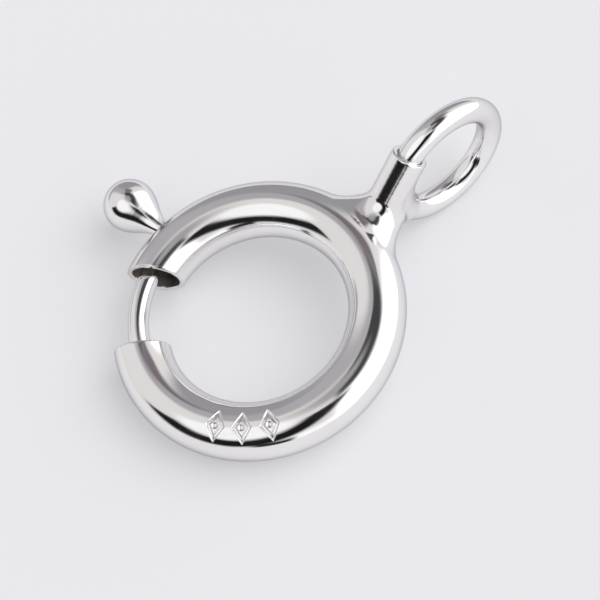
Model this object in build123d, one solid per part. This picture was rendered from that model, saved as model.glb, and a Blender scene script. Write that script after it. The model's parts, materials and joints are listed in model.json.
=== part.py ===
"""Spring ring clasp for a necklace or bracelet, in millimetres.

A hollow tube bent into a ring, with a gap in it. A curved bolt closes the gap, a teardrop
trigger on the bolt slides it back through a slot, and a spring inside the tube returns it.
A neck on the ring grips a closed jump ring that stands square to the ring.

The clasp is drawn in its own frame: the ring lies in XY about the origin, the neck is on +X,
and azimuths are degrees anticlockwise from +X. The last step lays it down as it rests, on the
ring's far edge and the jump ring's lowest point, with Z up from the surface.
"""
from build123d import *
import os
from math import asin, cos, degrees, radians, sin, sqrt, tan

# Ring tube
ring_outer_diameter = 6.0
tube_diameter = 1.15
tube_wall = 0.10
upper_end_azimuth = 114.0
upper_end_skew = 16.0
lower_end_azimuth = 152.0
lower_end_skew = -6.0
lower_end_lean = -6.0
end_stock = 10.0
end_allowance = 15.0
spring_seat_azimuth = -43.5
spring_seat_thickness = 0.15

# Jump ring
jump_wire_diameter = 0.52
jump_bend_radius = 1.23
jump_centre_x = 4.96
piece_gap = 0.02

# Neck, a flare that turns up into a straight barrel round the jump ring's wire
neck_width = 0.72
neck_fillet_radius = 1.10
neck_end_x = 3.66
neck_waist_height = 0.35
neck_root_height = 0.48
neck_root_share = 0.9
neck_stations = 5
barrel_diameter = 0.74
barrel_foot_x, barrel_foot_z = 3.26, 0.07
barrel_mouth_x, barrel_mouth_z = 4.27, 1.04
barrel_heel_first, barrel_heel_last = 142.0, 200.0

# Bolt, with its own bend centre a little off the ring's
bolt_diameter = 0.43
bolt_bend_radius = 2.41
bolt_centre_offset = 0.20
bolt_centre_azimuth = 75.0
bolt_rear_azimuth = 75.0
bolt_front_azimuth = 156.5

# Trigger, whose distances are from the bolt's own centre line
trigger_azimuth = 94.6
trigger_lean = 4.0
trigger_travel = 43.0
trigger_tip_distance = 1.95
trigger_ball_radius = 0.56
trigger_taper_half_angle = 25.8
trigger_stem_diameter = 0.36
tenon_diameter = 0.22
tenon_inset = 0.02
tenon_clearance = 0.01
slot_side_clearance = 0.03
slot_end_clearance = 0.6

# Return spring, drawn as the sleeve that its coil fills
spring_outer_diameter = 0.50
spring_wire_diameter = 0.08
spring_seat_end_azimuth = -45.0
spring_end_gap = 0.4

tube_radius = tube_diameter / 2
bore_radius = tube_radius - tube_wall
ring_bend_radius = ring_outer_diameter / 2 - tube_radius
slot_half_width = trigger_stem_diameter / 2 + slot_side_clearance
bolt_centre = Rot(0, 0, bolt_centre_azimuth) * Pos(bolt_centre_offset, 0, 0)
bolt_centre = Pos(bolt_centre.position)


def bent_rod(rod_radius, bend_radius, start, end):
    """A round rod bent about Z, from one azimuth to another."""
    section = Plane.XZ * Pos(bend_radius, 0) * Circle(rod_radius)
    return Rot(0, 0, start) * revolve(section, Axis.Z, end - start)


def end_cutter(azimuth, skew, lean, side):
    """A block whose flat face cuts the tube off, on the side of the gap."""
    reach = 2 * tube_diameter
    block = Box(reach, tube_diameter, reach, align=(Align.CENTER, side, Align.CENTER))
    return Rot(0, 0, azimuth) * Pos(ring_bend_radius, 0, 0) * Rot(lean, 0, skew) * block


def bore():
    """The hollow of the tube, in two lengths that leave the spring's seat between them."""
    half_seat = degrees(spring_seat_thickness / 2 / ring_bend_radius)
    upper = bent_rod(
        bore_radius, ring_bend_radius,
        spring_seat_azimuth + half_seat, upper_end_azimuth + end_allowance,
    )
    lower = bent_rod(
        bore_radius, ring_bend_radius,
        lower_end_azimuth - end_allowance, 360 + spring_seat_azimuth - half_seat,
    )
    return upper, lower


def slot():
    """The way of the trigger's stem through the outer wall, with round ends."""
    near, far = bolt_bend_radius, ring_outer_diameter / 2 + tube_radius
    first = trigger_azimuth - trigger_travel - slot_end_clearance
    last = trigger_azimuth + slot_end_clearance
    middle = (near + far) / 2
    section = Plane.XZ * Pos(middle, 0) * Rectangle(far - near, 2 * slot_half_width)
    run = Rot(0, 0, first) * revolve(section, Axis.Z, last - first)
    round_end = Pos(near, 0, 0) * Rot(0, 90, 0) * Cylinder(
        slot_half_width, far - near, align=(Align.CENTER, Align.CENTER, Align.MIN)
    )
    return [bolt_centre * run] + [bolt_centre * Rot(0, 0, end) * round_end for end in (first, last)]


def neck_flare():
    """A concave flare on the tube's outer side, through ellipses square to X."""
    outer_radius = ring_outer_diameter / 2
    fillet_y = neck_width / 2 + neck_fillet_radius
    fillet_x = sqrt((outer_radius + neck_fillet_radius) ** 2 - fillet_y**2)
    touch_share = outer_radius / (outer_radius + neck_fillet_radius)
    touch_x, touch_y = touch_share * fillet_x, touch_share * fillet_y
    root = Ellipse(neck_root_share * touch_y, neck_root_height)
    sections = [Plane.YZ.offset(ring_bend_radius) * root]
    for index in range(neck_stations):
        share = index / (neck_stations - 1)
        x = touch_x + share * (neck_end_x - touch_x)
        half_width = fillet_y - sqrt(neck_fillet_radius**2 - (fillet_x - x) ** 2)
        extra_height = (1 - share) ** 2 * (neck_root_height - neck_waist_height)
        sections.append(Plane.YZ.offset(x) * Ellipse(half_width, neck_waist_height + extra_height))
    return loft(sections)


def neck_barrel():
    """The barrel that the jump ring's wire runs through, with a heel that follows the wire."""
    foot = Vector(barrel_foot_x, 0, barrel_foot_z)
    reach = Vector(barrel_mouth_x, 0, barrel_mouth_z) - foot
    barrel = Plane(foot, x_dir=(0, 1, 0), z_dir=reach) * Cylinder(
        barrel_diameter / 2, reach.length, align=(Align.CENTER, Align.CENTER, Align.MIN)
    )
    return barrel + jump_bend(neck_width / 2, barrel_heel_first, barrel_heel_last)


def jump_bend(rod_radius, first, last):
    """A round rod on the jump ring's bend, its angles from +X towards +Z."""
    rod = bent_rod(rod_radius, jump_bend_radius, first, last)
    return Pos(jump_centre_x, 0, 0) * Rot(90, 0, 0) * rod


def ring_tube():
    first, last = lower_end_azimuth - end_stock, 360 + upper_end_azimuth + end_stock
    tube = bent_rod(tube_radius, ring_bend_radius, first, last)
    tube -= end_cutter(upper_end_azimuth, upper_end_skew, 0, Align.MIN)
    tube -= end_cutter(lower_end_azimuth, lower_end_skew, lower_end_lean, Align.MAX)
    body = tube + neck_flare() + neck_barrel()
    for hollow in bore():
        body -= hollow
    for cut in slot():
        body -= cut
    return body - jump_bend(jump_wire_diameter / 2 + piece_gap, 0, 360)


def jump_ring():
    return jump_bend(jump_wire_diameter / 2, 0, 360)


def trigger_place():
    """Where the trigger's axis leaves the bolt's centre line, with X along that axis."""
    on_bolt = bolt_centre * Rot(0, 0, trigger_azimuth) * Pos(bolt_bend_radius, 0, 0)
    return on_bolt * Rot(0, 0, trigger_lean)


def bolt():
    """The curved bolt, domed at its front, with a hole for the trigger's tenon."""
    rod = bent_rod(bolt_diameter / 2, bolt_bend_radius, bolt_rear_azimuth, bolt_front_azimuth)
    dome = Rot(0, 0, bolt_front_azimuth) * Pos(bolt_bend_radius, 0, 0) * Sphere(bolt_diameter / 2)
    hole = Cylinder(tenon_diameter / 2 + tenon_clearance, 2 * bolt_diameter)
    return bolt_centre * (rod + dome) - trigger_place() * Rot(0, 90, 0) * hole


def trigger_knob():
    """A turned teardrop on a stem, with a tenon that fills the hole in the bolt."""
    tenon_radius = tenon_diameter / 2
    stem_radius = trigger_stem_diameter / 2
    foot = tenon_inset - bolt_diameter / 2
    shoulder = bolt_diameter / 2 + tenon_clearance
    taper = radians(trigger_taper_half_angle)
    ball_centre = trigger_tip_distance - trigger_ball_radius
    ball_side = trigger_ball_radius * cos(taper)
    ball_start = ball_centre - trigger_ball_radius * sin(taper)
    stem_top = ball_start - (ball_side - stem_radius) / tan(taper)
    outline = Polyline(
        (0, foot), (tenon_radius, foot), (tenon_radius, shoulder),
        (stem_radius, shoulder), (stem_radius, stem_top), (ball_side, ball_start),
    )
    outline += ThreePointArc(
        (ball_side, ball_start), (trigger_ball_radius, ball_centre), (0, trigger_tip_distance)
    )
    outline += Line((0, trigger_tip_distance), (0, foot))
    turned = revolve(make_face(outline), Axis.Y)
    return trigger_place() * Rot(0, 0, -90) * turned


def return_spring():
    outer_radius = spring_outer_diameter / 2
    first, last = spring_seat_end_azimuth, bolt_rear_azimuth - spring_end_gap
    coil = bent_rod(outer_radius, bolt_bend_radius, first, last)
    coil -= bent_rod(outer_radius - spring_wire_diameter, bolt_bend_radius, first, last)
    return bolt_centre * coil


def rest_placement(solids):
    """Tips the clasp onto the ring's far edge and the jump ring, with the origin under its middle."""
    jump_reach = jump_bend_radius + jump_wire_diameter / 2
    rise = (jump_reach - tube_radius) / (ring_bend_radius + jump_centre_x)
    tip = Rot(0, -degrees(asin(rise)), 0)
    box = Compound(children=[tip * solid for solid in solids]).bounding_box()
    middle = box.center()
    return Pos(-middle.X, -middle.Y, -box.min.Z) * tip


pieces = {
    "ring_tube": ring_tube(),
    "jump_ring": jump_ring(),
    "bolt": bolt(),
    "trigger_knob": trigger_knob(),
    "return_spring": return_spring(),
}
placement = rest_placement(pieces.values())

os.makedirs("parts", exist_ok=True)
for name, solid in pieces.items():
    export_step(placement * solid, f"parts/{name}.step")
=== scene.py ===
import json
import math

import bmesh
import bpy
import numpy as np
from mathutils import Matrix, Vector


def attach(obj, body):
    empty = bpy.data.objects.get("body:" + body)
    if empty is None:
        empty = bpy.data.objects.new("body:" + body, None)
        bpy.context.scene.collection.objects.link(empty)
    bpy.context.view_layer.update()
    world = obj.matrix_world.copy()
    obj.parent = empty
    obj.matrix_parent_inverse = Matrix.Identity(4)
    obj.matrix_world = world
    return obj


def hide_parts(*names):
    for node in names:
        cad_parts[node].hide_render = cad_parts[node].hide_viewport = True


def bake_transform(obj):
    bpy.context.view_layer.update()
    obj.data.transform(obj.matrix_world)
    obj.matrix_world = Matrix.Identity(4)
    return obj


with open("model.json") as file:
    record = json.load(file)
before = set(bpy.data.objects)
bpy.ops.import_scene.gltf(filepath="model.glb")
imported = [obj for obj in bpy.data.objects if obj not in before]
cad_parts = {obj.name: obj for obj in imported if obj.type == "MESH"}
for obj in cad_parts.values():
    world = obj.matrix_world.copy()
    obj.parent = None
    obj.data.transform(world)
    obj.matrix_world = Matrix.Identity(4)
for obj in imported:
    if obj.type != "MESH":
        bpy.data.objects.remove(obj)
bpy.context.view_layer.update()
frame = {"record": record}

# The clasp's sizes in millimetres and degrees, in its own frame: the ring lies in XY about the
# origin, its neck is on +X, and azimuths run anticlockwise from +X.
MM = 0.001
RING_BEND = 2.425
TUBE_RADIUS = 0.575
BORE_RADIUS = 0.475
UPPER_END, UPPER_SKEW = 114.0, 16.0
LOWER_END, LOWER_SKEW, LOWER_LEAN = 152.0, -6.0, -6.0
SEAT_AZIMUTH, SEAT_THICKNESS = -43.5, 0.15
JUMP_CENTRE_X, JUMP_BEND, JUMP_WIRE = 4.96, 1.23, 0.26
WIRE_GAP = 0.005
NECK_RADIUS, NECK_FILLET, NECK_END_X = 0.355, 1.10, 3.55
BARREL_RADIUS = 0.37
BARREL_FOOT, BARREL_MOUTH = np.array((3.26, 0.0, 0.07)), np.array((4.27, 0.0, 1.04))
HEEL_RADIUS, HEEL_FIRST, HEEL_LAST = 0.36, 142.0, 200.0
BOLT_RADIUS, BOLT_BEND = 0.215, 2.41
BOLT_REAR, BOLT_FRONT = 75.0, 156.5
BOLT_OFFSET, BOLT_OFFSET_AZIMUTH = 0.20, 75.0
BOLT_BEVEL = 0.04
TRIGGER_AZIMUTH, TRIGGER_LEAN, TRIGGER_TRAVEL = 94.6, 4.0, 43.0
TRIGGER_TIP, TRIGGER_BALL, TRIGGER_DROP = 1.95, 0.56, 1.05
TRIGGER_STEM, TRIGGER_TENON = 0.18, 0.11
TENON_INSET, TENON_CLEARANCE = 0.02, 0.01
SLOT_HALF_WIDTH, SLOT_END = 0.21, 0.6
SPRING_MEAN_RADIUS, SPRING_WIRE, SPRING_TURNS = 0.21, 0.04, 24
SPRING_FIRST, SPRING_LAST = -45.0, 74.6
SPRING_END_TURNS, SPRING_END_PITCH = 1.5, 0.35
X_AXIS, Z_AXIS = np.array((1.0, 0.0, 0.0)), np.array((0.0, 0.0, 1.0))

# How finely the ring is meshed, and how much its edges and joins are rounded
NET_STEP = 0.034
RELAX_SHARES, SETTLE_ROUNDS, LAST_SETTLE_ROUNDS = (0.7, 0.5, 0.3), 2, 3
RIM_ROUND, SLOT_ROUND, MOUTH_ROUND = 0.018, 0.02, 0.03
BARREL_FILLET, HEEL_FILLET = 0.55, 0.20
HOLLOW_EDGE = 0.2 * RIM_ROUND
GAP_REACH = 60.0
GRADIENT_STEP, LEAST_SLOPE_SQUARED = 0.002, 0.25
TINY = 1e-9

# How many steps the turned and bent pieces have, along them and round them
JUMP_STEPS, BOLT_STEPS, DOME_STEPS = 256, 90, 15
SWELL_STEPS, TIP_STEPS, COIL_STEPS_A_TURN = 45, 36, 28
WIRE_SIDES, TRIGGER_SIDES, COIL_SIDES = 48, 96, 8
LAST_LIFT = 88.0

# Struck marks on the ring, as plain lozenges with a dot
MARK_AZIMUTHS = (-145.0, -133.0, -120.5)
MARK_TUBE_ANGLE = 78.0
MARK_HALF_LENGTH, MARK_HALF_HEIGHT = 0.15, 0.25
MARK_LINE, MARK_DOT, MARK_DEPTH = 0.034, 0.05, 0.035

# The photograph's camera, from the ring's centre: millimetres along the picture's right, up and
# depth, then the turns that bring the ring into the picture
CAMERA_OFFSET = (0.840, 0.347, 33.905)
CAMERA_LENS, CAMERA_SENSOR = 102.0, 36.0
CAMERA_NEAR, CAMERA_FAR = 1.0, 5000.0
PICTURE_TURN, PICTURE_TILT, NECK_TURN = 27.6, 27.7, 14.5


def clasp_frame():
    """The clasp's own axes as rows, and its origin, in the row frame in metres."""
    mounts = {mount["name"]: mount for mount in frame["record"]["mounts"]}
    origin = Vector(mounts["ring_gap"]["pos_m"])
    z_axis = Vector(mounts["ring_gap"]["axis"]).normalized()
    to_eye = Vector(mounts["jump_ring_eye"]["pos_m"]) - origin
    y_axis = z_axis.cross(to_eye).normalized()
    return np.array((y_axis.cross(z_axis), y_axis, z_axis)), np.array(origin)


def toward(azimuth):
    """The direction of an azimuth in the ring's plane."""
    turn = math.radians(azimuth)
    return np.array((math.cos(turn), math.sin(turn), 0.0))


AXES, ORIGIN = clasp_frame()
BOLT_CENTRE = BOLT_OFFSET * toward(BOLT_OFFSET_AZIMUTH)


def to_row(points):
    """Points in the clasp's frame, in millimetres, as points in the row frame in metres."""
    return ORIGIN + np.asarray(points) * MM @ AXES


def add_piece(name, points, faces, body, node, normals=None):
    """A smooth mesh from points in the clasp's frame, in millimetres, that stands for a CAD node."""
    mesh = bpy.data.meshes.new(name)
    mesh.from_pydata(to_row(points).tolist(), [], faces)
    mesh.polygons.foreach_set("use_smooth", [True] * len(mesh.polygons))
    if normals is not None:
        mesh.normals_split_custom_set_from_vertices((normals @ AXES).tolist())
    mesh.update()
    piece = bpy.data.objects.new(name, mesh)
    bpy.context.scene.collection.objects.link(piece)
    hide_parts(node)
    if body:
        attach(piece, body)
    return piece


# Distance fields


def round_cut(first, second, radius):
    """What lies in both shapes, its edges rounded."""
    corner = np.hypot(np.maximum(first + radius, 0), np.maximum(second + radius, 0))
    return corner + np.minimum(np.maximum(first, second) + radius, 0) - radius


def fillet(first, second, radius):
    """Two shapes joined by a round fillet. Each is a distance and the direction it grows in."""
    (a, g), (b, h) = first, second
    slant = (g * h).sum(-1)
    square = np.maximum(1 - slant**2, TINY)
    in_a, in_b = a - radius, b - radius
    s = (slant * in_b - in_a) / square
    t = (slant * in_a - in_b) / square
    away = s[..., None] * g + t[..., None] * h
    reach = np.maximum(np.linalg.norm(away, axis=-1), TINY)
    filled = (s > 0) & (t > 0)
    distance = np.where(filled, radius - reach, np.minimum(a, b))
    nearest = np.where((a < b)[..., None], g, h)
    return distance, np.where(filled[..., None], away / reach[..., None], nearest)


def azimuth_from(p, azimuth):
    """Degrees past an azimuth, from -180 to 180."""
    return (np.degrees(np.arctan2(p[..., 1], p[..., 0])) - azimuth + 180.0) % 360.0 - 180.0


def ring_distance(p):
    """From the tube's centre line."""
    return np.hypot(np.hypot(p[..., 0], p[..., 1]) - RING_BEND, p[..., 2])


def jump_distance(p):
    """From the centre line of the jump ring's wire."""
    return np.hypot(np.hypot(p[..., 0] - JUMP_CENTRE_X, p[..., 2]) - JUMP_BEND, p[..., 1])


def end_plane(p, azimuth, skew, lean):
    """How far a point is past the cut at one end of the tube, towards larger azimuths."""
    turn, skew, lean = math.radians(azimuth), math.radians(skew), math.radians(lean)
    x, y, z = -math.sin(skew), math.cos(skew) * math.cos(lean), math.cos(skew) * math.sin(lean)
    normal = (x * math.cos(turn) - y * math.sin(turn), x * math.sin(turn) + y * math.cos(turn), z)
    middle = (RING_BEND * math.cos(turn), RING_BEND * math.sin(turn), 0.0)
    return sum((p[..., axis] - middle[axis]) * normal[axis] for axis in range(3))


def gap_field(p):
    """Positive in the ring's gap."""
    past_upper = end_plane(p, UPPER_END, UPPER_SKEW, 0.0)
    before_lower = -end_plane(p, LOWER_END, LOWER_SKEW, LOWER_LEAN)
    near_gap = np.abs(azimuth_from(p, (UPPER_END + LOWER_END) / 2)) < GAP_REACH
    return np.where(near_gap, np.minimum(past_upper, before_lower), -RING_BEND)


def length_and_way(off):
    """The length and the direction of each vector."""
    size = np.maximum(np.linalg.norm(off, axis=-1), TINY)
    return size, off / size[..., None]


def tube_shape(p):
    way = p[..., :2] / np.maximum(np.hypot(p[..., 0], p[..., 1]), TINY)[..., None]
    centre_line = np.concatenate((way * RING_BEND, np.zeros((*p.shape[:-1], 1))), axis=-1)
    size, out = length_and_way(p - centre_line)
    return size - TUBE_RADIUS, out


def stub_shape(p):
    """The neck's straight root, from inside the tube, with a round end."""
    along = np.clip(p[..., 0], RING_BEND, NECK_END_X)
    size, out = length_and_way(p - along[..., None] * X_AXIS)
    return size - NECK_RADIUS, out


def barrel_shape(p):
    """The straight barrel, round at its foot and cut square at its mouth."""
    length, axis = length_and_way(BARREL_MOUTH - BARREL_FOOT)
    along = (p - BARREL_FOOT) @ axis
    size, out = length_and_way(p - BARREL_FOOT - np.maximum(along, 0)[..., None] * axis)
    side, past = size - BARREL_RADIUS, along - length
    return round_cut(side, past, MOUTH_ROUND), np.where((past > side)[..., None], axis, out)


def heel_shape(p):
    """Follows the jump ring's wire down from inside the barrel."""
    from_centre = p - JUMP_CENTRE_X * X_AXIS
    _, way = length_and_way(from_centre * (X_AXIS + Z_AXIS))
    size, out = length_and_way(from_centre - way * JUMP_BEND)
    turn = np.degrees(np.arctan2(p[..., 2], p[..., 0] - JUMP_CENTRE_X)) % 360.0
    beyond = np.radians(np.abs(turn - (HEEL_FIRST + HEEL_LAST) / 2) - (HEEL_LAST - HEEL_FIRST) / 2)
    return round_cut(size - HEEL_RADIUS, beyond * JUMP_BEND, MOUTH_ROUND), out


def bore_field(p):
    """The tube's hollow, less the web that the spring rests on."""
    web = np.abs(np.radians(azimuth_from(p, SEAT_AZIMUTH))) * RING_BEND - SEAT_THICKNESS / 2
    return np.maximum(ring_distance(p) - BORE_RADIUS, -web)


def slot_field(p):
    """The way of the trigger's stem through the tube's outer wall, with round ends."""
    q = p - BOLT_CENTRE
    first = TRIGGER_AZIMUTH - TRIGGER_TRAVEL - SLOT_END
    last = TRIGGER_AZIMUTH + SLOT_END
    radius = np.hypot(q[..., 0], q[..., 1])
    beyond = np.radians(np.abs(azimuth_from(q, (first + last) / 2)) - (last - first) / 2) * radius
    side = np.hypot(np.maximum(beyond, 0), q[..., 2]) - SLOT_HALF_WIDTH
    return np.maximum(side, BOLT_BEND - radius)


def mark_places(p):
    """How far points are from the middle of each mark, along the ring and round the tube."""
    radius = np.hypot(p[..., 0], p[..., 1])
    tube_angle = np.degrees(np.arctan2(p[..., 2], radius - RING_BEND))
    v = np.radians(tube_angle - MARK_TUBE_ANGLE) * TUBE_RADIUS
    return [(np.radians(azimuth_from(p, azimuth)) * radius, v) for azimuth in MARK_AZIMUTHS]


def mark_field(p):
    """How deep the struck marks are at each point of the ring's surface."""
    depth = np.zeros(p.shape[:-1])
    a, b = MARK_HALF_LENGTH, MARK_HALF_HEIGHT
    for u, v in mark_places(p):
        edge = np.abs((np.abs(u) / a + np.abs(v) / b - 1) * a * b / math.hypot(a, b))
        line = np.clip((1.5 * MARK_LINE - edge) / MARK_LINE, 0, 1)
        dot = np.clip((1.5 * MARK_DOT - np.hypot(u, v)) / MARK_DOT, 0, 1)
        struck = np.maximum(line, dot)
        depth = np.maximum(depth, struck * struck * (3 - 2 * struck))
    near_outside = ring_distance(p) > (BORE_RADIUS + TUBE_RADIUS) / 2
    return np.where(near_outside, depth * MARK_DEPTH, 0.0)


def ring_field(p):
    """The ring and its neck, hollow, with the slot, the gap and the way of the jump ring's wire."""
    root = fillet(tube_shape(p), stub_shape(p), NECK_FILLET)
    barrel = fillet(barrel_shape(p), heel_shape(p), HEEL_FILLET)
    body, _ = fillet(root, barrel, BARREL_FILLET)
    shell = np.maximum(body, -bore_field(p))
    shell = round_cut(shell, -slot_field(p), SLOT_ROUND)
    shell = round_cut(shell, gap_field(p), RIM_ROUND)
    return round_cut(shell, WIRE_GAP + JUMP_WIRE - jump_distance(p), RIM_ROUND)


def marked_ring_field(p):
    return ring_field(p) + mark_field(p)


# Meshing of a distance field


def field_values(field, axes):
    """The field on a square grid, slab by slab."""
    slabs = []
    for x in axes[0]:
        y, z = np.meshgrid(axes[1], axes[2], indexing="ij")
        slabs.append(field(np.stack((np.full(y.shape, x), y, z), axis=-1)))
    return np.stack(slabs)


def surface_net(field, low, high, step):
    """Points and quads of the surface where the field is zero, one point to a crossed cell."""
    axes = [np.arange(a, b + step, step) for a, b in zip(low, high)]
    inside = field_values(field, axes) < 0
    cells = [n - 1 for n in inside.shape]
    corners = [
        inside[i:cells[0] + i, j:cells[1] + j, k:cells[2] + k]
        for i in (0, 1) for j in (0, 1) for k in (0, 1)
    ]
    crossed = np.logical_or.reduce(corners) & ~np.logical_and.reduce(corners)
    number = np.full(crossed.shape, -1)
    number[crossed] = np.arange(crossed.sum())
    index = np.argwhere(crossed)
    points = np.array(low) + (index + 0.5) * step
    quads = []
    for axis in range(3):
        near, far = [slice(None)] * 3, [slice(None)] * 3
        near[axis], far[axis] = slice(None, -1), slice(1, None)
        change = inside[tuple(near)].astype(int) - inside[tuple(far)].astype(int)
        across = [a for a in range(3) if a != axis]
        trim = [slice(None)] * 3
        for a in across:
            trim[a] = slice(1, -1)
        change = change[tuple(trim)]
        for sign in (1, -1):
            edge = np.argwhere(change == sign)
            for a in across:
                edge[:, a] += 1
            ring = []
            for da, db in ((0, 0), (-1, 0), (-1, -1), (0, -1)):
                cell = edge.copy()
                cell[:, across[0]] += da
                cell[:, across[1]] += db
                ring.append(number[tuple(cell.T)])
            quad = np.stack(ring, axis=1)
            turned = (sign == 1) == (axis != 1)
            quads.append(quad if turned else quad[:, ::-1])
    return points, np.concatenate(quads)


def gradient(field, points):
    rises = [field(points + step) - field(points - step) for step in np.eye(3) * GRADIENT_STEP]
    return np.stack(rises, axis=-1) / (2 * GRADIENT_STEP)


def settle(field, points, rounds):
    """Moves the points onto the surface."""
    for _ in range(rounds):
        slope = gradient(field, points)
        size = np.maximum((slope**2).sum(-1), LEAST_SLOPE_SQUARED)
        points = points - (field(points) / size)[:, None] * slope
    return points


def relax(points, quads, share):
    """Moves each point part of the way to the middle of its neighbours."""
    total, count = np.zeros(points.shape), np.zeros(len(points))
    for side in range(4):
        a, b = quads[:, side], quads[:, (side + 1) % 4]
        for here, there in ((a, b), (b, a)):
            for axis in range(3):
                total[:, axis] += np.bincount(here, points[there, axis], len(points))
            count += np.bincount(here, minlength=len(points))
    return points + share * (total / np.maximum(count, 1)[:, None] - points)


def refine_marks(points, quads):
    """Cuts the faces round the struck marks into smaller ones."""
    mesh = bmesh.new()
    verts = [mesh.verts.new(point) for point in points]
    for quad in quads:
        mesh.faces.new([verts[i] for i in quad])
    mesh.verts.index_update()
    reach = MARK_HALF_HEIGHT + 3 * MARK_LINE
    outside = ring_distance(points) > TUBE_RADIUS - 2 * MARK_DEPTH
    close = np.zeros(len(points), bool)
    for u, v in mark_places(points):
        close |= (np.abs(u) < reach) & (np.abs(v) < reach) & outside
    edges = [e for e in mesh.edges if close[e.verts[0].index] and close[e.verts[1].index]]
    bmesh.ops.subdivide_edges(mesh, edges=edges, cuts=2, use_grid_fill=True)
    mesh.verts.index_update()
    fine = np.array([v.co for v in mesh.verts])
    faces = [[v.index for v in face.verts] for face in mesh.faces]
    mesh.free()
    return fine, faces


def take_faces(points, faces, keep):
    """The faces that are kept, with only their own points, and which points those are."""
    chosen = [face for face, kept in zip(faces, keep) if kept]
    used = np.zeros(len(points), bool)
    used[[i for face in chosen for i in face]] = True
    place = np.cumsum(used) - 1
    return points[used], [[int(place[i]) for i in face] for face in chosen], used


def make_ring():
    """The ring with its neck as one net, whose hollow is a piece of its own."""
    outer = RING_BEND + TUBE_RADIUS
    low = (-outer - 2 * NET_STEP, -outer - 2 * NET_STEP, -TUBE_RADIUS - 2 * NET_STEP)
    high = (BARREL_MOUTH[0] + BARREL_RADIUS, outer + NET_STEP, BARREL_MOUTH[2] + BARREL_RADIUS)
    points, quads = surface_net(ring_field, low, high, NET_STEP)
    for share in RELAX_SHARES:
        points = relax(settle(ring_field, points, SETTLE_ROUNDS), quads, share)
    points = settle(ring_field, points, LAST_SETTLE_ROUNDS)
    points, faces = refine_marks(points, quads)
    points = settle(marked_ring_field, points, LAST_SETTLE_ROUNDS)
    normals = gradient(marked_ring_field, points)
    normals /= np.linalg.norm(normals, axis=1)[:, None]
    inner = ring_distance(points) < BORE_RADIUS + HOLLOW_EDGE
    hollow = [all(inner[i] for i in face) for face in faces]
    shown = [not h for h in hollow]
    pieces = []
    for name, keep in (("ring_and_neck", shown), ("ring_hollow", hollow)):
        own, own_faces, used = take_faces(points, faces, keep)
        piece = add_piece(name, own, own_faces, "ring", "ring_tube", normals[used])
        pieces.append(piece)
    return pieces


# Turned and bent pieces


def once_round(steps):
    """Equal turns, in radians, once round a circle."""
    return np.linspace(0, 2 * np.pi, steps + 1)[:-1]


def skin(rings, closed_along=False):
    """Quads over rows of points, each row a closed loop."""
    rows, around = rings.shape[:2]
    faces = []
    for row in range(rows if closed_along else rows - 1):
        ahead = (row + 1) % rows
        for i in range(around):
            j = (i + 1) % around
            here, there = row * around, ahead * around
            faces.append((here + i, here + j, there + j, there + i))
    return rings.reshape(-1, 3), faces


def close_ends(points, faces, around):
    """Fans over the first and last loop."""
    last = len(points) - around
    middle = np.array([points[:around].mean(0), points[last:].mean(0)])
    first_point, last_point = len(points), len(points) + 1
    for i in range(around):
        j = (i + 1) % around
        faces.append((first_point, j, i))
        faces.append((last_point, last + i, last + j))
    return np.concatenate((points, middle)), faces


def make_jump_ring():
    a, b = np.meshgrid(once_round(JUMP_STEPS), once_round(WIRE_SIDES), indexing="ij")
    radius = JUMP_BEND + JUMP_WIRE * np.cos(b)
    x, y, z = JUMP_CENTRE_X + radius * np.cos(a), JUMP_WIRE * np.sin(b), radius * np.sin(a)
    points, faces = skin(np.stack((x, y, z), -1), closed_along=True)
    return add_piece("jump_ring_wire", points, faces, "ring", "jump_ring")


def bent(profile, bend_radius, centre):
    """Loops along a bend about Z: each row of the profile is an azimuth and a radius of the rod."""
    around = once_round(WIRE_SIDES)
    rings = []
    for azimuth, rod in profile:
        out = (bend_radius + rod * np.cos(around))[:, None] * toward(azimuth)
        rings.append(centre + out + (rod * np.sin(around))[:, None] * Z_AXIS)
    return np.array(rings)


def make_bolt():
    """A bent rod with a domed front and a bevelled rear."""
    rear = BOLT_REAR + math.degrees(BOLT_BEVEL / BOLT_BEND)
    profile = [(BOLT_REAR, BOLT_RADIUS - BOLT_BEVEL), (rear, BOLT_RADIUS)]
    profile += [(azimuth, BOLT_RADIUS) for azimuth in np.linspace(rear, BOLT_FRONT, BOLT_STEPS)[1:]]
    for lift in np.linspace(0, LAST_LIFT, DOME_STEPS)[1:]:
        ahead = math.degrees(BOLT_RADIUS * math.sin(math.radians(lift)) / BOLT_BEND)
        profile.append((BOLT_FRONT + ahead, BOLT_RADIUS * math.cos(math.radians(lift))))
    rings = bent(profile, BOLT_BEND, BOLT_CENTRE)
    points, faces = close_ends(*skin(rings), rings.shape[1])
    return add_piece("bolt_rod", points, faces, "slider", "bolt")


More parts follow.
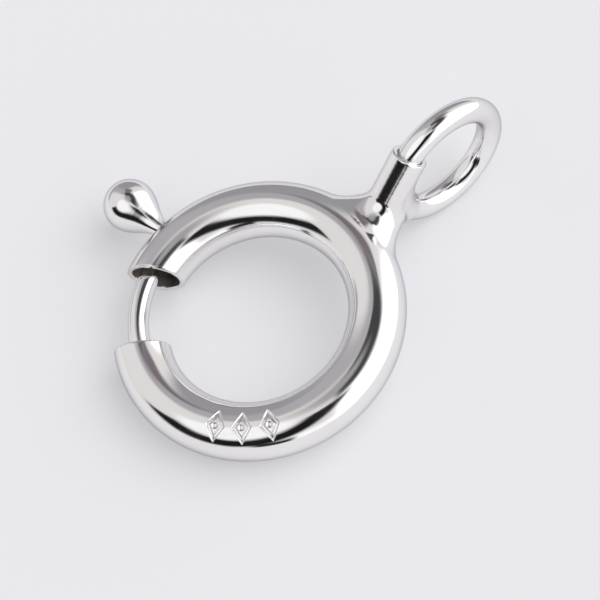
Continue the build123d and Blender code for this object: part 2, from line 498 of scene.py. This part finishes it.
def trigger_profile():
    """Distance along the trigger's axis and radius, from the tenon's foot to the tip.

    Between the stem and the ball the radius swells by a blend of the fifth degree, which meets
    the ball with the ball's own curve.
    """
    shoulder = BOLT_RADIUS + TENON_CLEARANCE
    ball = TRIGGER_TIP - TRIGGER_BALL
    rise = TRIGGER_BALL - TRIGGER_STEM
    stem_bend = TRIGGER_DROP**2 / rise
    ball_bend = -(TRIGGER_DROP**2) / (TRIGGER_BALL * rise)
    foot = TENON_INSET - BOLT_RADIUS
    rows = [(foot, TRIGGER_TENON), (shoulder, TRIGGER_TENON), (shoulder, TRIGGER_STEM)]
    for u in np.linspace(0, 1, SWELL_STEPS)[:-1]:
        swell = 10 * u**3 - 15 * u**4 + 6 * u**5
        swell += stem_bend * (0.5 * u**2 - 1.5 * u**3 + 1.5 * u**4 - 0.5 * u**5)
        swell += ball_bend * (0.5 * u**3 - u**4 + 0.5 * u**5)
        rows.append((ball - TRIGGER_DROP * (1 - u), TRIGGER_STEM + rise * swell))
    for turn in np.radians(np.linspace(0, LAST_LIFT, TIP_STEPS)):
        rows.append((ball + TRIGGER_BALL * math.sin(turn), TRIGGER_BALL * math.cos(turn)))
    return rows


def make_trigger():
    """The turned teardrop, with its foot and axis in the row frame."""
    foot = BOLT_CENTRE + BOLT_BEND * toward(TRIGGER_AZIMUTH)
    axis = toward(TRIGGER_AZIMUTH + TRIGGER_LEAN)
    around = once_round(TRIGGER_SIDES)
    circle = np.cos(around)[:, None] * np.cross(Z_AXIS, axis) + np.sin(around)[:, None] * Z_AXIS
    rings = np.array([foot + axis * along + circle * radius for along, radius in trigger_profile()])
    points, faces = close_ends(*skin(rings), rings.shape[1])
    piece = add_piece("trigger_teardrop", points, faces, "slider", "trigger_knob")
    return piece, to_row(foot), axis @ AXES


def make_spring():
    """A coil of fine wire along the bolt's bend, pressed flat at both ends."""
    share = np.linspace(0, 1, SPRING_TURNS * COIL_STEPS_A_TURN + 1)
    margin = math.degrees(SPRING_WIRE / BOLT_BEND)
    end_share = SPRING_END_TURNS / SPRING_TURNS
    pitch = np.clip(np.minimum(share, 1 - share) / end_share, SPRING_END_PITCH, 1)
    travel = np.concatenate(((0,), np.cumsum(pitch[1:])))
    azimuth = SPRING_FIRST + margin + (SPRING_LAST - SPRING_FIRST - 2 * margin) * travel / travel[-1]
    turn = np.radians(azimuth)
    spin = 2 * np.pi * SPRING_TURNS * share
    radius = BOLT_BEND + SPRING_MEAN_RADIUS * np.cos(spin)
    line = BOLT_CENTRE + np.stack(
        (radius * np.cos(turn), radius * np.sin(turn), SPRING_MEAN_RADIUS * np.sin(spin)), -1
    )
    ahead = np.gradient(line, axis=0)
    ahead /= np.linalg.norm(ahead, axis=1)[:, None]
    bend = np.stack((np.cos(turn), np.sin(turn), np.zeros(len(turn))), -1)
    out = line - (BOLT_CENTRE + BOLT_BEND * bend)
    out -= (out * ahead).sum(1)[:, None] * ahead
    out /= np.linalg.norm(out, axis=1)[:, None]
    side = np.cross(ahead, out)
    around = once_round(COIL_SIDES)
    rings = line[:, None] + SPRING_WIRE * (
        np.cos(around)[None, :, None] * out[:, None] + np.sin(around)[None, :, None] * side[:, None]
    )
    points, faces = close_ends(*skin(rings), rings.shape[1])
    piece = add_piece("spring_coil", points, faces, None, "return_spring")
    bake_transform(piece)
    return piece


# Materials

# Light and dark colour, smoothest and roughest polish, grain per metre and depth of the fine lines
POLISHED = ((0.945, 0.94, 0.935), (0.91, 0.90, 0.89), (0.07, 0.13), 700.0, 1.2e-6)
# The tube's hollow: a rougher polish, and darker, warmer colours that are painted shade inside the
# tube
ROUGH_WITH_PAINTED_SHADE = ((0.52, 0.49, 0.45), (0.34, 0.30, 0.27), (0.30, 0.55), 1500.0, 3e-6)
DRAWN_WIRE = ((0.62, 0.61, 0.60), (0.42, 0.40, 0.38), (0.18, 0.35), 3000.0, 6e-7)
CLOUD_DETAIL, CLOUD_RANGE = 4.0, (0.35, 0.62)
SMUDGE_GRAIN, SMUDGE_DETAIL, SMUDGE_RANGE = 2.3, 6.0, (0.3, 0.75)
STREAK_SCALE, STREAK_DETAIL, STREAK_TURN = 11000.0, 3.0, 8e-5
EDGE_TINT = (0.62, 0.61, 0.64, 1.0)


def new_material(name):
    material = bpy.data.materials.new(name)
    material.use_nodes = True
    nodes = material.node_tree.nodes
    shader = nodes["Principled BSDF"]
    return material, nodes, material.node_tree.links, shader


def dot(nodes, links, vector, axis):
    node = nodes.new("ShaderNodeVectorMath")
    node.operation = "DOT_PRODUCT"
    links.new(vector, node.inputs[0])
    node.inputs[1].default_value = axis
    return node.outputs["Value"]


def math_node(nodes, links, operation, *values):
    node = nodes.new("ShaderNodeMath")
    node.operation = operation
    for socket, value in zip(node.inputs, values):
        if isinstance(value, float):
            socket.default_value = value
        else:
            links.new(value, socket)
    return node.outputs["Value"]


def noise(nodes, links, place, scale, detail):
    texture = nodes.new("ShaderNodeTexNoise")
    texture.inputs["Scale"].default_value = scale
    texture.inputs["Detail"].default_value = detail
    links.new(place, texture.inputs["Vector"])
    return texture.outputs["Fac"]


def spread(nodes, links, value, low, high, to_low, to_high):
    """A value's range, stretched to another range."""
    node = nodes.new("ShaderNodeMapRange")
    node.inputs["From Min"].default_value = low
    node.inputs["From Max"].default_value = high
    node.inputs["To Min"].default_value = to_low
    node.inputs["To Max"].default_value = to_high
    links.new(value, node.inputs["Value"])
    return node.outputs["Result"]


def ramp(nodes, links, value, stops):
    """A colour that follows a value, through stops of place and colour."""
    node = nodes.new("ShaderNodeValToRGB")
    for element, (place, colour) in zip(node.color_ramp.elements, stops):
        element.position = place
        element.color = (*colour, 1.0)
    links.new(value, node.inputs["Fac"])
    return node.outputs["Color"]


def turned_place(nodes, links, place, centre, axis):
    """A point's distance from an axis and height along it, with its turn as a slow third value."""
    axis = Vector(axis).normalized()
    side = axis.orthogonal().normalized()
    offset = nodes.new("ShaderNodeVectorMath")
    offset.operation = "SUBTRACT"
    links.new(place, offset.inputs[0])
    offset.inputs[1].default_value = centre
    offset = offset.outputs["Vector"]
    x, y = dot(nodes, links, offset, side), dot(nodes, links, offset, axis.cross(side))
    squares = [math_node(nodes, links, "MULTIPLY", value, value) for value in (x, y)]
    radius = math_node(nodes, links, "SQRT", math_node(nodes, links, "ADD", *squares))
    turn = math_node(nodes, links, "ARCTAN2", y, x)
    turn = math_node(nodes, links, "MULTIPLY", turn, STREAK_TURN)
    joined = nodes.new("ShaderNodeCombineXYZ")
    for socket, value in zip(joined.inputs, (radius, dot(nodes, links, offset, axis), turn)):
        links.new(value, socket)
    return joined.outputs["Vector"]


def metal(name, light, dark, polish, grain, streak_depth, centre, axis):
    """Metal with uneven polish, fine lines that run round an axis and a faint change of colour."""
    material, nodes, links, shader = new_material(name)
    place = nodes.new("ShaderNodeTexCoord").outputs["Object"]
    shader.inputs["Metallic"].default_value = 1.0
    shader.inputs["Specular Tint"].default_value = EDGE_TINT
    cloud = noise(nodes, links, place, grain, CLOUD_DETAIL)
    colour = ramp(nodes, links, cloud, zip(CLOUD_RANGE, (dark, light)))
    links.new(colour, shader.inputs["Base Color"])
    smudge = noise(nodes, links, place, grain * SMUDGE_GRAIN, SMUDGE_DETAIL)
    roughness = spread(nodes, links, smudge, *SMUDGE_RANGE, *polish)
    links.new(roughness, shader.inputs["Roughness"])
    drawn = turned_place(nodes, links, place, centre, axis)
    streaks = noise(nodes, links, drawn, STREAK_SCALE, STREAK_DETAIL)
    bump = nodes.new("ShaderNodeBump")
    bump.inputs["Strength"].default_value = 1.0
    bump.inputs["Distance"].default_value = streak_depth
    links.new(streaks, bump.inputs["Height"])
    links.new(bump.outputs["Normal"], shader.inputs["Normal"])
    return material


def dress(piece, material):
    piece.data.materials.clear()
    piece.data.materials.append(material)


# Stage

FLOOR_HALF_SIZE = 600.0
FLOOR_COLOUR, FLOOR_ROUGHNESS, FLOOR_GLOSS = (0.50, 0.497, 0.515, 1.0), 0.9, 0.1
FLOOR_GLOW_COLOUR, FLOOR_GLOW = (0.985, 0.98, 1.0, 1.0), 0.31
BACKDROP_TONE = (0.83, 0.825, 0.86)
ROOM_TONE = (0.76, 0.745, 0.74)
SUN_STRENGTH, SUN_WIDTH = 1.30, 60.0
SUN_AZIMUTH, SUN_ZENITH = -30.0, 32.0

# The studio seen from the clasp, in degrees: each patch bends about a pole and has a middle, both
# given by azimuth and angle from straight up, a half length round the pole, a half width, the
# softness of its edge, and a tone. A patch goes all round if its middle is its own pole, and is
# then a disc.
UP = (0.0, 0.0)
ALL_ROUND = 181
ARC_POLE = (190.0, 38.0)
EDGE_POLE = (96.0, 102.5)
PATCHES = (
    ("white_near", ARC_POLE, ARC_POLE, ALL_ROUND, 22, 8, (1.00, 1.00, 1.01)),
    ("white_front", UP, (266, 90), 38, 16, 8, (1.05, 1.05, 1.06)),
    ("white_side", UP, (-41, 66), 51, 35, 12, (1.35, 1.35, 1.37)),
    ("grey_far", UP, (82, 62), 21, 42, 16, (0.42, 0.41, 0.43)),
    ("grey_low", UP, (91, 94), 32, 13, 12, (0.34, 0.34, 0.355)),
    ("grey_right", EDGE_POLE, (54, 74), 38, 22, 14, (0.32, 0.315, 0.335)),
    ("violet_right", UP, (48, 34), 20, 9, 10, (0.19, 0.16, 0.18)),
    ("grey_above", (-5, 8), (-5, 8), ALL_ROUND, 18, 14, (0.36, 0.355, 0.365)),
    ("dark_above", UP, (-5, 18), 88, 8, 9, (0.055, 0.055, 0.06)),
    ("black_arc", ARC_POLE, (216, 71), 92, 12, 9, (0.010, 0.010, 0.012)),
    ("black_low", UP, (229, 85), 12, 7, 7, (0.010, 0.010, 0.012)),
)

# Below this length a patch's middle is its own pole
POLE_MARGIN = 1e-6

# Sockets of the node that mixes two colours
MIX_FACTOR, MIX_FIRST, MIX_SECOND, MIX_RESULT = 0, 6, 7, 2


def make_floor():
    """A plain pale floor that glows a little, as a light table does."""
    half = FLOOR_HALF_SIZE * MM
    corners = [(x * half, y * half, 0.0) for x, y in ((-1, -1), (1, -1), (1, 1), (-1, 1))]
    mesh = bpy.data.meshes.new("floor")
    mesh.from_pydata(corners, [], [(0, 1, 2, 3)])
    floor = bpy.data.objects.new("floor", mesh)
    bpy.context.scene.collection.objects.link(floor)
    material, _, _, shader = new_material("pale_floor")
    shader.inputs["Base Color"].default_value = FLOOR_COLOUR
    shader.inputs["Roughness"].default_value = FLOOR_ROUGHNESS
    shader.inputs["Specular IOR Level"].default_value = FLOOR_GLOSS
    shader.inputs["Emission Color"].default_value = FLOOR_GLOW_COLOUR
    shader.inputs["Emission Strength"].default_value = FLOOR_GLOW
    dress(floor, material)


def way_to(azimuth, zenith):
    """A direction in the row frame, by azimuth and angle from straight up."""
    a, z = math.radians(azimuth), math.radians(zenith)
    return Vector((math.sin(z) * math.cos(a), math.sin(z) * math.sin(a), math.cos(z)))


def patch_mask(nodes, links, direction, pole, middle, along, across, soft):
    """1 inside a patch of the studio, 0 outside it."""
    axis, centre = way_to(*pole), way_to(*middle)
    ahead = centre - axis * centre.dot(axis)
    ahead = ahead.normalized() if ahead.length > POLE_MARGIN else Vector((1.0, 0.0, 0.0))
    side = axis.cross(ahead)
    x, y = dot(nodes, links, direction, ahead), dot(nodes, links, direction, side)
    turn = math_node(nodes, links, "ARCTAN2", y, x)
    lift = math_node(nodes, links, "ARCCOSINE", dot(nodes, links, direction, axis))
    lift = math_node(nodes, links, "SUBTRACT", lift, axis.angle(centre))
    masks = []
    for size, half in ((turn, along), (lift, across)):
        node = nodes.new("ShaderNodeMapRange")
        node.interpolation_type = "SMOOTHSTEP"
        near, far = math.radians(half - soft / 2), math.radians(half + soft / 2)
        for key, value in (("From Min", near), ("From Max", far), ("To Min", 1.0), ("To Max", 0.0)):
            node.inputs[key].default_value = value
        links.new(math_node(nodes, links, "ABSOLUTE", size), node.inputs["Value"])
        masks.append(node.outputs["Result"])
    return math_node(nodes, links, "MULTIPLY", *masks)


def make_studio():
    """Soft light from plain patches all round, and a plain backdrop behind the floor."""
    world = bpy.data.worlds.new("studio")
    bpy.context.scene.world = world
    world.use_nodes = True
    nodes, links = world.node_tree.nodes, world.node_tree.links
    nodes.clear()
    direction = nodes.new("ShaderNodeTexCoord").outputs["Generated"]
    colour = nodes.new("ShaderNodeRGB")
    colour.outputs["Color"].default_value = (*ROOM_TONE, 1.0)
    tone = colour.outputs["Color"]
    for name, pole, middle, along, across, soft, patch_tone in PATCHES:
        mask = patch_mask(nodes, links, direction, pole, middle, along, across, soft)
        mix = nodes.new("ShaderNodeMix")
        mix.label = name
        mix.data_type = "RGBA"
        links.new(mask, mix.inputs[MIX_FACTOR])
        links.new(tone, mix.inputs[MIX_FIRST])
        mix.inputs[MIX_SECOND].default_value = (*patch_tone, 1.0)
        tone = mix.outputs[MIX_RESULT]
    lit = nodes.new("ShaderNodeBackground")
    links.new(tone, lit.inputs["Color"])
    plain = nodes.new("ShaderNodeBackground")
    plain.inputs["Color"].default_value = (*BACKDROP_TONE, 1.0)
    choose = nodes.new("ShaderNodeMixShader")
    links.new(nodes.new("ShaderNodeLightPath").outputs["Is Camera Ray"], choose.inputs["Fac"])
    links.new(lit.outputs["Background"], choose.inputs[1])
    links.new(plain.outputs["Background"], choose.inputs[2])
    links.new(choose.outputs["Shader"], nodes.new("ShaderNodeOutputWorld").inputs["Surface"])


def make_sun():
    """A broad soft lamp that the metal doesn't mirror."""
    data = bpy.data.lights.new("soft_lamp", "SUN")
    data.energy = SUN_STRENGTH
    data.angle = math.radians(SUN_WIDTH)
    lamp = bpy.data.objects.new("soft_lamp", data)
    lamp.rotation_euler = way_to(SUN_AZIMUTH, SUN_ZENITH).to_track_quat("Z", "Y").to_euler()
    lamp.visible_glossy = False
    bpy.context.scene.collection.objects.link(lamp)


def make_camera():
    """The photograph's camera, placed from the ring's own axes."""
    turn, tilt, neck = (math.radians(a) for a in (PICTURE_TURN, PICTURE_TILT, NECK_TURN))
    ring_x = AXES[0] * math.cos(neck) - AXES[1] * math.sin(neck)
    ring_y = AXES[0] * math.sin(neck) + AXES[1] * math.cos(neck)
    rise = ring_y * math.cos(tilt) + AXES[2] * math.sin(tilt)
    right = ring_x * math.cos(turn) - rise * math.sin(turn)
    up = ring_x * math.sin(turn) + rise * math.cos(turn)
    back = AXES[2] * math.cos(tilt) - ring_y * math.sin(tilt)
    data = bpy.data.cameras.new("camera")
    data.lens = CAMERA_LENS
    data.sensor_width = CAMERA_SENSOR
    data.clip_start, data.clip_end = CAMERA_NEAR * MM, CAMERA_FAR * MM
    camera = bpy.data.objects.new("camera", data)
    bpy.context.scene.collection.objects.link(camera)
    offset = np.array(CAMERA_OFFSET) * MM
    matrix = Matrix((right, up, back)).transposed().to_4x4()
    matrix.translation = Vector(ORIGIN + offset[0] * right + offset[1] * up + offset[2] * back)
    camera.matrix_world = matrix
    bpy.context.scene.camera = camera


make_camera()
make_floor()
make_studio()
make_sun()
bpy.context.scene.view_settings.view_transform = "Standard"

ring_axis, eye_axis = AXES[2], AXES[1]
eye, bolt_centre = to_row(JUMP_CENTRE_X * X_AXIS), to_row(BOLT_CENTRE)
ring, hollow = make_ring()
dress(ring, metal("ring_silver", *POLISHED, ORIGIN, ring_axis))
# The hollow's darker colour is painted shade in the tube; its rougher polish is real
dress(hollow, metal("rough_silver_painted_shade", *ROUGH_WITH_PAINTED_SHADE, ORIGIN, ring_axis))
dress(make_jump_ring(), metal("jump_ring_silver", *POLISHED, eye, eye_axis))
dress(make_bolt(), metal("bolt_silver", *POLISHED, bolt_centre, ring_axis))
trigger, trigger_foot, trigger_axis = make_trigger()
dress(trigger, metal("trigger_silver", *POLISHED, trigger_foot, trigger_axis))
dress(make_spring(), metal("spring_steel", *DRAWN_WIRE, bolt_centre, ring_axis))
